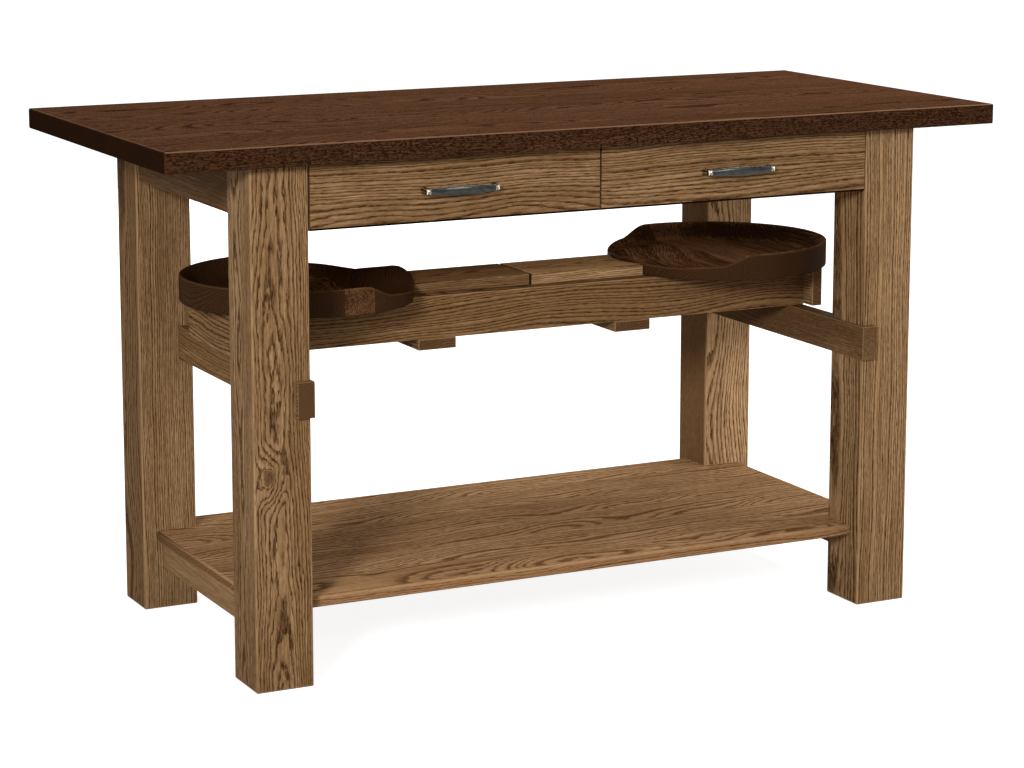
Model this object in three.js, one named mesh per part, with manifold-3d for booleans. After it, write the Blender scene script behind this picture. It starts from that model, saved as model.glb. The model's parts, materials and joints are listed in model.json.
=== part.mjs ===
// Oak kitchen island with two drawers, a lower shelf and two scooped seats that pull out at the ends.
// Millimetres, +Z up. The origin is on the floor under the middle, X runs along the length,
// and the drawers face -Y.
import * as THREE from "three";
import { ConvexGeometry } from "three/addons/geometries/ConvexGeometry.js";
import { mergeVertices } from "three/addons/utils/BufferGeometryUtils.js";
import Module from "manifold-3d";

const wasm = await Module();
wasm.setup();

// Tabletop
const topLength = 1586;
const topDepth = 713;
const topThickness = 36;
const overallHeight = 914;
const endOverhang = 153;
const frontOverhang = 28.5;
const topEase = 3;

// Legs
const legSize = 102;
const legEase = 3;

// Aprons under the top
const apronInset = 6.5;
const apronThickness = 22;
const sideApronHeight = 89.5;
const boardEase = 1.5;

// Lower shelf, notched round the legs, on a rail at each end
const shelfHeight = 145;
const shelfThickness = 18.5;
const shelfInset = 26;
const shelfEase = 4;
const shelfRailInset = 37;
const shelfRailThickness = 22;
const shelfRailHeight = 51;

// Drawers
const drawerFrontHeight = 109;
const drawerFrontThickness = 20;
const drawerGap = 2;
const drawerBoxDepth = 450;
const drawerSideRise = 12;
const drawerSideHeight = 73;
const drawerSideThickness = 14;
const drawerBottomThickness = 6;
const drawerBottomRise = 10;
const drawerGrooveDepth = 6;
const frontRailThickness = 20;
const frontRailDepth = 60;
const frontRailSetback = 3;
const hangerThickness = 22;
const dividerThickness = 24;

// Drawer slides: three channels nested in each other
const slideHeight = 45;
const slideWidth = 12.7;
const slideMetal = 1.2;
const slideSetback = 2;

// Drawer pulls
const pullLength = 134;
const pullHoleSpacing = 126;
const pullFootWidth = 8;
const pullEndHeight = 9;
const pullMiddleHeight = 15;
const pullEndReach = 20;
const pullMiddleReach = 26;
const pullBarThickness = 6;
const pullCorner = 4;
const pullSegments = 16;

// Screws that hold the pulls
const screwRadius = 2;
const screwHeadRadius = 4;
const screwHeadHeight = 2.6;
const screwBite = 9;
const screwSides = 16;

// Seat stretchers, from front leg to back leg
const stretcherBottomBelowTop = 419;
const stretcherHeight = 61.5;
const stretcherThickness = 30.5;
const stretcherProudOfLeg = 4.3;
const stretcherEndReach = 9;
const stretcherEase = 2;

// Frame that carries the seats
const frameWidth = 178;
const frameRailHeight = 76.5;
const frameRailThickness = 30;
const endBoardThickness = 20.5;
const endBoardWidth = 238;
const endBoardRise = 1.5;
const tieCentre = 196.5;
const tieWidth = 73;
const tieThickness = 19.5;

// Seat arms and the runners under them
const armWidth = 129.5;
const armThickness = 20.3;
const armMeetingGap = 4;
const armEndPastSeatCentre = 120;
const armTongueThickness = 10;
const armEase = 1.5;
const seatTravel = 350;
const runnerMiddleGap = 13.7;
const runnerHeight = 25;
const runnerTongueWidth = 9;
const runnerTongueHeight = 12;
const runnerTongueRise = 6;

// Scooped seats
const seatCentreInset = 144.2;
const seatRadius = 211;
const seatThickness = 47.5;
const seatDishThickness = 18.5;
const seatFrontLipThickness = 20.5;
const seatSideLipThickness = 27;
const pommelThickness = 45;
const pommelSpread = 44;
const seatEdgeRound = 2.5;
const seatSectors = 96;

// Clearances
const slidingGap = 0.5;
const restingGap = 0.4;
const jointGap = 0.3;
const overrun = 5;

// Half of the seat's outline as shares of its radius, from the front's middle round to the back's
const seatOutlineShares = [
  [-0.981, 0], [-0.958, 0.13], [-0.893, 0.322], [-0.815, 0.483], [-0.735, 0.635],
  [-0.628, 0.762], [-0.512, 0.85], [-0.365, 0.93], [-0.185, 0.982], [-0.005, 1],
  [0.175, 0.976], [0.403, 0.9], [0.635, 0.757], [0.825, 0.553], [0.948, 0.318],
  [0.992, 0.12], [1, 0],
];
// Rings of the seat's upper face, from its middle to its rim
const seatRingShares = [
  0.15, 0.3, 0.45, 0.6, 0.7, 0.77, 0.82, 0.86, 0.895, 0.925, 0.95, 0.975,
];
const seatWallStartShare = 0.8;
const rimDropShares = [-0.47, -0.17];
const lipFallShares = [-0.8, -0.45];
const pommelFadeShares = [-0.569, 0.047];
const pommelNoseShare = 0.152;

// Colours and surfaces
const oakBrown = { color: 0x80603f, roughness: 0.55, metalness: 0 };
const oakDark = { color: 0x44281a, roughness: 0.45, metalness: 0 };
const mapleClear = { color: 0xc9a878, roughness: 0.6, metalness: 0 };
const birchPly = { color: 0xd2b68c, roughness: 0.65, metalness: 0 };
const pewter = { color: 0x8d8a82, roughness: 0.35, metalness: 1 };
const zincSteel = { color: 0xb4b7ba, roughness: 0.4, metalness: 1 };

// Places that follow from the sizes
const topUnderside = overallHeight - topThickness;
const legOuterX = topLength / 2 - endOverhang;
const legInnerX = legOuterX - legSize;
const legOuterY = topDepth / 2 - frontOverhang;
const legInnerY = legOuterY - legSize;
const legCentreX = legInnerX + legSize / 2;
const legCentreY = legInnerY + legSize / 2;

const stretcherInnerX = legInnerX - stretcherProudOfLeg;
const stretcherOuterX = stretcherInnerX + stretcherThickness;
const stretcherBottom = topUnderside - stretcherBottomBelowTop;
const stretcherTop = stretcherBottom + stretcherHeight;

const frameHalfWidth = frameWidth / 2;
const frameInnerY = frameHalfWidth - frameRailThickness;
const frameTop = stretcherTop + frameRailHeight;

const seatCentre = stretcherOuterX - seatCentreInset;
const armEndPlace = seatCentre + armEndPastSeatCentre;
const armBottom = frameTop + restingGap;
const armTop = armBottom + armThickness;
const armTongueTop = armBottom + armTongueThickness;
const seatBottom = armBottom + jointGap;
const runnerBottom = armBottom - runnerHeight;
const runnerHalfWidth = frameInnerY - slidingGap;
const runnerTongueBottom = runnerBottom + runnerTongueRise;
const runnerTongueTop = runnerTongueBottom + runnerTongueHeight;
const runnerOuterEnd = stretcherOuterX - seatTravel - slidingGap;

const drawerFrontTop = topUnderside - drawerGap;
const drawerFrontBottom = drawerFrontTop - drawerFrontHeight;
const drawerFrontWidth = legInnerX - drawerGap - drawerGap / 2;
const drawerFrontCentreX = drawerGap / 2 + drawerFrontWidth / 2;
const drawerFrontCentreZ = (drawerFrontBottom + drawerFrontTop) / 2;
const drawerBoxFrontY = -legOuterY + drawerFrontThickness;
const drawerBayInnerX = dividerThickness / 2;
const drawerBoxCentreX = (drawerBayInnerX + legInnerX) / 2;
const drawerBoxHalfWidth = (legInnerX - drawerBayInnerX) / 2 - slideWidth;
const drawerSideBottom = drawerFrontBottom + drawerSideRise;
const drawerSideTop = drawerSideBottom + drawerSideHeight;
const drawerFloorBottom = drawerSideBottom + drawerBottomRise;
const drawerFloorTop = drawerFloorBottom + drawerBottomThickness;
const slideCentreZ = drawerSideBottom + drawerSideHeight / 2;
const frontRailFrontY = drawerBoxFrontY + frontRailSetback;
const frontRailBottom = topUnderside - frontRailThickness;
const hangerBottom = topUnderside - sideApronHeight;
const backApronOuterY = legOuterY - apronInset;
const backApronInnerY = backApronOuterY - apronThickness;

const island = new THREE.Group();

// A mesh with the product's material, added to its group under its name
function place(group, name, geometry, look) {
  const mesh = new THREE.Mesh(geometry, new THREE.MeshStandardMaterial(look));
  mesh.name = name;
  group.add(mesh);
  return mesh;
}

// A board between pairs of limits, with every edge cut back by the ease
function board(xs, ys, zs, ease) {
  const limits = [xs, ys, zs];
  const points = [];
  for (let corner = 0; corner < 8; corner += 1) {
    const sides = [corner & 1, (corner >> 1) & 1, (corner >> 2) & 1];
    for (let flat = 0; flat < 3; flat += 1) {
      const point = limits.map((limit, axis) => {
        const inward = sides[axis] ? -ease : ease;
        return limit[sides[axis]] + (axis === flat ? 0 : inward);
      });
      points.push(new THREE.Vector3(...point));
    }
  }
  return new ConvexGeometry(points);
}

// The closed solid of a geometry, for cuts
function solidOf(geometry) {
  const bare = geometry.clone();
  bare.deleteAttribute("normal");
  bare.deleteAttribute("uv");
  const merged = mergeVertices(bare);
  const vertProperties = new Float32Array(merged.attributes.position.array);
  const triVerts = new Uint32Array(merged.index.array);
  return new wasm.Manifold(new wasm.Mesh({ numProp: 3, vertProperties, triVerts }));
}

function geometryOf(solid) {
  const mesh = solid.getMesh();
  const geometry = new THREE.BufferGeometry();
  geometry.setAttribute("position", new THREE.BufferAttribute(mesh.vertProperties, 3));
  geometry.setIndex(new THREE.BufferAttribute(mesh.triVerts, 1));
  geometry.computeVertexNormals();
  return geometry;
}

function cutAway(geometry, ...cutters) {
  let solid = solidOf(geometry);
  for (const cutter of cutters) {
    solid = solid.subtract(solidOf(cutter));
  }
  return geometryOf(solid);
}

function plainBox(xs, ys, zs) {
  const box = new THREE.BoxGeometry(xs[1] - xs[0], ys[1] - ys[0], zs[1] - zs[0]);
  return box.translate((xs[0] + xs[1]) / 2, (ys[0] + ys[1]) / 2, (zs[0] + zs[1]) / 2);
}

function shapeOf(points) {
  return new THREE.Shape(points.map(([a, b]) => new THREE.Vector2(a, b)));
}

// A profile of (y, z) points run along X
function runAlongX(points, from, to) {
  const geometry = new THREE.ExtrudeGeometry(shapeOf(points), { depth: to - from, bevelEnabled: false });
  const turn = new THREE.Matrix4().makeBasis(
    new THREE.Vector3(0, 1, 0), new THREE.Vector3(0, 0, 1), new THREE.Vector3(1, 0, 0),
  );
  return geometry.applyMatrix4(turn).translate(from, 0, 0);
}

// A profile of (x, z) points run along Y
function runAlongY(points, from, to) {
  const swapped = points.map(([x, z]) => [z, x]);
  const geometry = new THREE.ExtrudeGeometry(shapeOf(swapped), { depth: to - from, bevelEnabled: false });
  const turn = new THREE.Matrix4().makeBasis(
    new THREE.Vector3(0, 0, 1), new THREE.Vector3(1, 0, 0), new THREE.Vector3(0, 1, 0),
  );
  return geometry.applyMatrix4(turn).translate(0, from, 0);
}

// Limits on one side of the middle, in rising order
function onSide(side, inner, outer) {
  return side < 0 ? [-outer, -inner] : [inner, outer];
}

const sidesX = [["left", -1], ["right", 1]];
const sidesY = [["front", -1], ["back", 1]];

// Tabletop
const halfLength = topLength / 2;
const halfDepth = topDepth / 2;
place(island, "tabletop", board(
  [-halfLength, halfLength], [-halfDepth, halfDepth], [topUnderside, overallHeight], topEase,
), oakDark);

// Legs, housed on their inner sides for the seat stretchers
for (const [sideName, sideX] of sidesX) {
  for (const [rowName, sideY] of sidesY) {
    const blank = board(
      onSide(sideX, legInnerX, legOuterX), onSide(sideY, legInnerY, legOuterY), [0, topUnderside], legEase,
    );
    const housing = plainBox(
      onSide(sideX, legInnerX - overrun, stretcherOuterX + jointGap),
      onSide(sideY, legInnerY - overrun, legOuterY + overrun),
      [stretcherBottom - jointGap, stretcherTop + jointGap],
    );
    place(island, `leg_${rowName}_${sideName}`, cutAway(blank, housing), oakBrown);
  }
}

// Side aprons and the drawer hangers inside them, between the front and back legs
for (const [sideName, sideX] of sidesX) {
  const apronOuterX = legOuterX - apronInset;
  place(island, `apron_${sideName}`, board(
    onSide(sideX, apronOuterX - apronThickness, apronOuterX), [-legInnerY, legInnerY],
    [topUnderside - sideApronHeight, topUnderside], boardEase,
  ), oakBrown);
  place(island, `drawer_hanger_${sideName}`, board(
    onSide(sideX, legInnerX, legInnerX + hangerThickness), [-legInnerY, legInnerY],
    [hangerBottom, topUnderside], boardEase,
  ), mapleClear);
}

// Back apron, front rail under the top, and the divider between the drawers
place(island, "apron_back", board(
  [-legInnerX, legInnerX], [backApronInnerY, backApronOuterY], [drawerFrontBottom, topUnderside], boardEase,
), oakBrown);
place(island, "drawer_rail_front", board(
  [-legInnerX, legInnerX], [frontRailFrontY, frontRailFrontY + frontRailDepth],
  [frontRailBottom, topUnderside], boardEase,
), oakBrown);
place(island, "drawer_divider", board(
  [-drawerBayInnerX, drawerBayInnerX], [frontRailFrontY, backApronInnerY],
  [hangerBottom, frontRailBottom], boardEase,
), mapleClear);

// Shelf, notched round the legs
const shelfHalfLength = legOuterX - shelfInset;
const shelfHalfDepth = legOuterY - shelfInset;
const shelfBlank = board(
  [-shelfHalfLength, shelfHalfLength], [-shelfHalfDepth, shelfHalfDepth],
  [shelfHeight - shelfThickness, shelfHeight], shelfEase,
);
const shelfNotches = [];
for (const [, sideX] of sidesX) {
  for (const [, sideY] of sidesY) {
    shelfNotches.push(plainBox(
      onSide(sideX, legInnerX - jointGap, legOuterX), onSide(sideY, legInnerY - jointGap, legOuterY),
      [shelfHeight - shelfThickness - overrun, shelfHeight + overrun],
    ));
  }
}
place(island, "shelf", cutAway(shelfBlank, ...shelfNotches), oakBrown);

// Shelf rails between the legs at each end
for (const [sideName, sideX] of sidesX) {
  const railOuterX = legOuterX - shelfRailInset;
  const railTop = shelfHeight - shelfThickness;
  place(island, `shelf_rail_${sideName}`, board(
    onSide(sideX, railOuterX - shelfRailThickness, railOuterX), [-legInnerY, legInnerY],
    [railTop - shelfRailHeight, railTop], boardEase,
  ), oakBrown);
}

// Seat stretchers, housed in the legs, with ends that stand proud front and back
for (const [sideName, sideX] of sidesX) {
  place(island, `seat_stretcher_${sideName}`, board(
    onSide(sideX, stretcherInnerX, stretcherOuterX),
    [-legOuterY - stretcherEndReach, legOuterY + stretcherEndReach],
    [stretcherBottom, stretcherTop], stretcherEase,
  ), oakBrown);
}

// Long rails on the stretchers, each grooved inside for the runners' tongues
for (const [rowName, sideY] of sidesY) {
  const rail = board(
    [-stretcherOuterX, stretcherOuterX], onSide(sideY, frameInnerY, frameHalfWidth),
    [stretcherTop, frameTop], boardEase,
  );
  const groove = plainBox(
    [-stretcherOuterX - overrun, stretcherOuterX + overrun],
    onSide(sideY, frameInnerY - overrun, frameInnerY + runnerTongueWidth + slidingGap),
    [runnerTongueBottom - slidingGap, runnerTongueTop + slidingGap],
  );
  place(island, `seat_rail_${rowName}`, cutAway(rail, groove), oakBrown);
}

// End boards across the rails, and ties under them
for (const [sideName, sideX] of sidesX) {
  place(island, `seat_end_board_${sideName}`, board(
    onSide(sideX, stretcherOuterX, stretcherOuterX + endBoardThickness),
    [-endBoardWidth / 2, endBoardWidth / 2], [stretcherTop + endBoardRise, frameTop], boardEase,
  ), oakBrown);
  place(island, `seat_tie_${sideName}`, board(
    onSide(sideX, tieCentre - tieWidth / 2, tieCentre + tieWidth / 2), [-frameHalfWidth, frameHalfWidth],
    [stretcherTop - tieThickness, stretcherTop], boardEase,
  ), oakBrown);
}

function smoothStep(value, from, to) {
  const share = Math.min(1, Math.max(0, (value - from) / (to - from)));
  return share * share * (3 - 2 * share);
}

// The seat's outline round its centre, counter-clockwise from the front's middle
function seatOutline(sectors) {
  const half = seatOutlineShares.map(([a, b]) => new THREE.Vector3(a, -b, 0));
  const back = seatOutlineShares.slice(1, -1).reverse().map(([a, b]) => new THREE.Vector3(a, b, 0));
  const curve = new THREE.CatmullRomCurve3([...half, ...back], true, "centripetal");
  const outline = curve.getSpacedPoints(sectors).slice(0, sectors);
  return outline.map((point) => [point.x * seatRadius, point.y * seatRadius]);
}

// Height of the rim over the underside: full at the back, dropping to thin lips at the front
function rimThickness(along) {
  const share = along / seatRadius;
  const fall = smoothStep(share, lipFallShares[0], lipFallShares[1]);
  const lip = seatFrontLipThickness + (seatSideLipThickness - seatFrontLipThickness) * fall;
  return lip + (seatThickness - lip) * smoothStep(share, rimDropShares[0], rimDropShares[1]);
}

// Height that the pommel adds, a ridge that runs in from the front's middle and fades
function pommelRise(along, across) {
  const share = along / seatRadius;
  const fade = 1 - smoothStep(share, pommelFadeShares[0], pommelFadeShares[1]);
  const front = seatOutlineShares[0][0];
  const into = Math.min(1, Math.max(0, (share - front) / pommelNoseShare));
  const nose = Math.sqrt(1 - (1 - into) ** 2);
  const ridge = Math.exp(-((across / pommelSpread) ** 2));
  return (pommelThickness - seatFrontLipThickness) * fade * nose * ridge;
}

// Scooped seat round its own centre with its front towards -X, standing on its underside
function seatBlank() {
  const outline = seatOutline(seatSectors);
  const insetShare = 1 - seatEdgeRound / seatRadius;
  const rings = seatRingShares.map((ringShare) => ({ ringShare, drop: 0 }));
  rings.push({ ringShare: insetShare, drop: 0 });
  rings.push({ ringShare: 1, drop: seatEdgeRound });
  const positions = [0, 0, seatDishThickness + pommelRise(0, 0)];
  for (const { ringShare, drop } of rings) {
    for (const [along, across] of outline) {
      const x = along * ringShare;
      const y = across * ringShare;
      const wall = smoothStep(ringShare, seatWallStartShare, insetShare);
      const dish = seatDishThickness + (rimThickness(along) - seatDishThickness) * wall;
      positions.push(x, y, dish + pommelRise(x, y) - drop);
    }
  }
  for (const [ringShare, height] of [[1, seatEdgeRound], [insetShare, 0]]) {
    for (const [along, across] of outline) {
      positions.push(along * ringShare, across * ringShare, height);
    }
  }
  positions.push(0, 0, 0);
  const ringCount = rings.length + 2;
  const last = 1 + ringCount * seatSectors;
  const index = [];
  for (let sector = 0; sector < seatSectors; sector += 1) {
    const next = (sector + 1) % seatSectors;
    index.push(0, 1 + sector, 1 + next);
    for (let ring = 0; ring < ringCount - 1; ring += 1) {
      const inner = 1 + ring * seatSectors;
      const outer = inner + seatSectors;
      index.push(inner + sector, outer + sector, outer + next);
      index.push(inner + sector, outer + next, inner + next);
    }
    const rim = last - seatSectors;
    index.push(last, rim + next, rim + sector);
  }
  const geometry = new THREE.BufferGeometry();
  geometry.setAttribute("position", new THREE.Float32BufferAttribute(positions, 3));
  geometry.setIndex(index);
  return geometry;
}

// The outline widened by a gap, stood up as a block that shapes the arm's shoulder
function seatBlock(gap, from, to) {
  const share = (seatRadius + gap) / seatRadius;
  const points = seatOutline(seatSectors).map(([x, y]) => new THREE.Vector2(x * share, y * share));
  const options = { depth: to - from, bevelEnabled: false };
  return new THREE.ExtrudeGeometry(new THREE.Shape(points), options).translate(seatCentre, 0, from);
}

// Seat, arm and runner of the right-hand end; the left-hand set is the same, turned half round
const halfArm = armWidth / 2;
const armLimitsX = [armMeetingGap / 2, armEndPlace];
const armShape = cutAway(
  board(armLimitsX, [-halfArm, halfArm], [armBottom, armTop], armEase),
  seatBlock(jointGap, armTongueTop, armTop + overrun),
);
const tongueHousing = plainBox(
  [0, armEndPlace + jointGap], [-halfArm - jointGap, halfArm + jointGap],
  [seatBottom - overrun, armTongueTop + jointGap],
);
const seatShape = cutAway(seatBlank().translate(seatCentre, 0, seatBottom), tongueHousing);
const runnerOutline = [
  [-runnerHalfWidth, runnerBottom],
  [runnerHalfWidth, runnerBottom],
  [runnerHalfWidth, runnerTongueBottom],
  [runnerHalfWidth + runnerTongueWidth, runnerTongueBottom],
  [runnerHalfWidth + runnerTongueWidth, runnerTongueTop],
  [runnerHalfWidth, runnerTongueTop],
  [runnerHalfWidth, armBottom],
  [-runnerHalfWidth, armBottom],
  [-runnerHalfWidth, runnerTongueTop],
  [-runnerHalfWidth - runnerTongueWidth, runnerTongueTop],
  [-runnerHalfWidth - runnerTongueWidth, runnerTongueBottom],
  [-runnerHalfWidth, runnerTongueBottom],
];
const runnerShape = runAlongX(runnerOutline, runnerMiddleGap, runnerOuterEnd);

for (const [sideName, sideX] of sidesX) {
  const pullOut = new THREE.Group();
  pullOut.rotation.z = sideX < 0 ? Math.PI : 0;
  place(pullOut, `seat_${sideName}`, seatShape, oakDark);
  place(pullOut, `seat_arm_${sideName}`, armShape, oakBrown);
  place(pullOut, `seat_runner_${sideName}`, runnerShape, oakBrown);
  island.add(pullOut);
}

// Drawer pull on the plane y = 0, reaching out towards -Y, with its middle at the origin
function pullGeometry() {
  const halfPull = pullLength / 2;
  const innerHalf = halfPull - pullFootWidth;
  const innerEndReach = pullEndReach - pullBarThickness;
  const innerMiddleReach = pullMiddleReach - pullBarThickness;
  const plan = new THREE.Shape();
  plan.moveTo(-halfPull, 0);
  plan.lineTo(-innerHalf, 0);
  plan.lineTo(-innerHalf, -innerEndReach);
  plan.quadraticCurveTo(0, innerEndReach - 2 * innerMiddleReach, innerHalf, -innerEndReach);
  plan.lineTo(innerHalf, 0);
  plan.lineTo(halfPull, 0);
  plan.lineTo(halfPull, pullCorner - pullEndReach);
  plan.lineTo(halfPull - pullCorner, -pullEndReach);
  plan.quadraticCurveTo(0, pullEndReach - 2 * pullMiddleReach, pullCorner - halfPull, -pullEndReach);
  plan.lineTo(-halfPull, pullCorner - pullEndReach);
  const options = { depth: pullMiddleHeight, bevelEnabled: false, curveSegments: pullSegments };
  const bar = new THREE.ExtrudeGeometry(plan, options).translate(0, 0, -pullMiddleHeight / 2);
  const halfEnd = pullEndHeight / 2;
  const crown = pullMiddleHeight - halfEnd;
  const lens = new THREE.Shape();
  lens.moveTo(-halfEnd, -halfPull);
  lens.quadraticCurveTo(-crown, 0, -halfEnd, halfPull);
  lens.lineTo(halfEnd, halfPull);
  lens.quadraticCurveTo(crown, 0, halfEnd, -halfPull);
  const lensDepth = pullMiddleReach + overrun + overrun;
  const lensOptions = { depth: lensDepth, bevelEnabled: false, curveSegments: pullSegments };
  const turn = new THREE.Matrix4().makeBasis(
    new THREE.Vector3(0, 0, 1), new THREE.Vector3(1, 0, 0), new THREE.Vector3(0, 1, 0),
  );
  const sideView = new THREE.ExtrudeGeometry(lens, lensOptions).applyMatrix4(turn);
  sideView.translate(0, -pullMiddleReach - overrun, 0);
  return geometryOf(solidOf(bar).intersect(solidOf(sideView)));
}

// A round bar along Y between two limits
function rodAlongY(radius, from, to) {
  return new THREE.CylinderGeometry(radius, radius, to - from, screwSides).translate(0, (from + to) / 2, 0);
}

// Pan-head screw through the drawer front, with the front's outer face on y = 0
function screwGeometry() {
  const profile = [
    new THREE.Vector2(0, -screwBite),
    new THREE.Vector2(screwRadius, -screwBite),
    new THREE.Vector2(screwRadius, drawerFrontThickness),
    new THREE.Vector2(screwHeadRadius, drawerFrontThickness),
    new THREE.Vector2(screwHeadRadius, drawerFrontThickness + screwHeadHeight),
    new THREE.Vector2(0, drawerFrontThickness + screwHeadHeight),
  ];
  return new THREE.LatheGeometry(profile, screwSides);
}

// One channel of a drawer slide, with its web at one x and its flanges reaching to another
function channel(webX, tipX, height) {
  const half = height / 2;
  const step = tipX > webX ? slideMetal : -slideMetal;
  return [
    [webX, -half],
    [tipX, -half],
    [tipX, slideMetal - half],
    [webX + step, slideMetal - half],
    [webX + step, half - slideMetal],
    [tipX, half - slideMetal],
    [tipX, half],
    [webX, half],
  ];
}

const pullScrewPlaces = [["left", -pullHoleSpacing / 2], ["right", pullHoleSpacing / 2]];
const pullHoles = pullScrewPlaces.map(([, x]) => (
  rodAlongY(screwRadius + jointGap, -screwBite - jointGap, jointGap).translate(x, 0, 0)
));
const pullShape = cutAway(pullGeometry(), ...pullHoles);
const nestStep = slideMetal + restingGap;
const slideFrontY = drawerBoxFrontY + slideSetback;
const slideBackY = drawerBoxFrontY + drawerBoxDepth;

for (const [sideName, sideX] of sidesX) {
  const frontCentreX = sideX * drawerFrontCentreX;
  const boxCentreX = sideX * drawerBoxCentreX;
  const halfFront = drawerFrontWidth / 2;
  const boxLimitsY = [drawerBoxFrontY, drawerBoxFrontY + drawerBoxDepth];
  const innerHalf = drawerBoxHalfWidth - drawerSideThickness;
  const floorHalf = innerHalf + drawerGrooveDepth - jointGap;
  const floorLimitsX = [boxCentreX - floorHalf, boxCentreX + floorHalf];
  const floorLimitsY = [boxLimitsY[0] - drawerGrooveDepth + jointGap, boxLimitsY[1]];
  const groove = plainBox(
    [floorLimitsX[0] - jointGap, floorLimitsX[1] + jointGap],
    [floorLimitsY[0] - jointGap, floorLimitsY[1] + overrun],
    [drawerFloorBottom - jointGap, drawerFloorTop + jointGap],
  );

  // Drawer front, grooved for the bottom and bored for the pull's screws
  const frontBlank = board(
    [frontCentreX - halfFront, frontCentreX + halfFront], [-legOuterY, drawerBoxFrontY],
    [drawerFrontBottom, drawerFrontTop], boardEase,
  );
  const screwHoles = pullScrewPlaces.map(([, x]) => (
    rodAlongY(screwRadius + jointGap, -legOuterY - overrun, drawerBoxFrontY + overrun)
      .translate(frontCentreX + x, 0, drawerFrontCentreZ)
  ));
  place(island, `drawer_front_${sideName}`, cutAway(frontBlank, groove, ...screwHoles), oakBrown);

  // Drawer sides, back and bottom
  for (const [wallName, wallX] of [["outer", sideX], ["inner", -sideX]]) {
    const wall = board(
      [boxCentreX, boxCentreX].map((x, end) => {
        const limits = onSide(wallX, innerHalf, drawerBoxHalfWidth);
        return x + limits[end];
      }),
      boxLimitsY, [drawerSideBottom, drawerSideTop], boardEase,
    );
    place(island, `drawer_side_${wallName}_${sideName}`, cutAway(wall, groove), mapleClear);
  }
  place(island, `drawer_back_${sideName}`, board(
    [boxCentreX - innerHalf, boxCentreX + innerHalf], [boxLimitsY[1] - drawerSideThickness, boxLimitsY[1]],
    [drawerFloorTop + jointGap, drawerSideTop], boardEase,
  ), mapleClear);
  place(island, `drawer_bottom_${sideName}`, plainBox(
    floorLimitsX, floorLimitsY, [drawerFloorBottom, drawerFloorTop],
  ), birchPly);

  // Pull and its two screws
  const pull = place(island, `pull_${sideName}`, pullShape, pewter);
  pull.position.set(frontCentreX, -legOuterY, drawerFrontCentreZ);
  for (const [endName, x] of pullScrewPlaces) {
    const screw = place(island, `pull_screw_${endName}_${sideName}`, screwGeometry(), zincSteel);
    screw.position.set(frontCentreX + x, -legOuterY, drawerFrontCentreZ);
  }

  // Slides: the outer channel on the carcass, the inner one on the drawer, one between them
  for (const [wallName, wallX] of [["outer", sideX], ["inner", -sideX]]) {
    const carcassX = boxCentreX + wallX * (drawerBoxHalfWidth + slideWidth);
    const boxX = boxCentreX + wallX * drawerBoxHalfWidth;
    const levels = [
      ["carcass", carcassX, boxX + wallX * restingGap, slideHeight],
      ["middle", carcassX - wallX * nestStep, boxX + wallX * nestStep, slideHeight - 2 * nestStep],
      ["drawer", boxX, carcassX - wallX * 2 * nestStep, slideHeight - 2 * 2 * nestStep],
    ];
    for (const [levelName, webX, tipX, height] of levels) {
      const points = channel(webX, tipX, height).map(([x, z]) => [x, z + slideCentreZ]);
      const geometry = runAlongY(points, slideFrontY, slideBackY);
      place(island, `slide_${levelName}_${wallName}_${sideName}`, geometry, zincSteel);
    }
  }
}

export default island;
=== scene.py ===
# %% [markdown]
# # Oak kitchen island with drawers and pull-out seats
#
# The island is a joiner's piece: square oak legs, a heavy dark top, drawers with arched pulls,
# a low shelf, and scooped seats on arms that slide out of a rail frame at each end. Its sizes
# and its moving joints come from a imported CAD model. This script dresses that model: it gives
# each board eased edges and its own cut of oak, carves the seats, and lights the whole.
#
# Blender works in metres, and `mm` turns a joiner's millimetres into them. X runs along the
# length, the drawers face -Y, and Z is up.

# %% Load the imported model
import json
import math

import bmesh
import bpy
from mathutils import Matrix, Vector

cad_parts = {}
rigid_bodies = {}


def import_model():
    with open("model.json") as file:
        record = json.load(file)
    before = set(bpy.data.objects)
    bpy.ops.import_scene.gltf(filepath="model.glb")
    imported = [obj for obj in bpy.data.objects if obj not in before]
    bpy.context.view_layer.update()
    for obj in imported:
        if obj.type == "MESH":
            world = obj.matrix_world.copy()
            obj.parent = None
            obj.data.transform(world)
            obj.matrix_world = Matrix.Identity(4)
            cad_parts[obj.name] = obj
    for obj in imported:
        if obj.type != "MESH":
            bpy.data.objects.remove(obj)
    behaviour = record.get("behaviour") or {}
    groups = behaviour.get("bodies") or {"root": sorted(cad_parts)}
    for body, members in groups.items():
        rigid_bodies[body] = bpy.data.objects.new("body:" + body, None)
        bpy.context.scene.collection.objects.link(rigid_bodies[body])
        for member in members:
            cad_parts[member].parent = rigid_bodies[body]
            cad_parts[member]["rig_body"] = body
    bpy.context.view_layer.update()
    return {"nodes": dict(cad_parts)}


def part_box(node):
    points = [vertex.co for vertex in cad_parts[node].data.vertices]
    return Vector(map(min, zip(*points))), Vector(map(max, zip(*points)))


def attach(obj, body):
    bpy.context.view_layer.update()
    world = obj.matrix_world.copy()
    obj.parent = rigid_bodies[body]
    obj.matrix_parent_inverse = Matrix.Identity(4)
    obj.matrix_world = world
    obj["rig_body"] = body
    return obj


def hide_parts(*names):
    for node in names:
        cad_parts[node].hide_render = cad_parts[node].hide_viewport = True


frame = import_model()
cad_nodes = frame["nodes"]
scene = bpy.context.scene
mm = 0.001

# %% [markdown]
# ## Camera
#
# The photograph was taken from the left of the middle, about 5.2 m away, with a long lens from
# above the worktop. A long lens keeps the legs nearly parallel. A small vertical shift does part
# of what a view camera does, so that the legs don't lean together.

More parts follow.
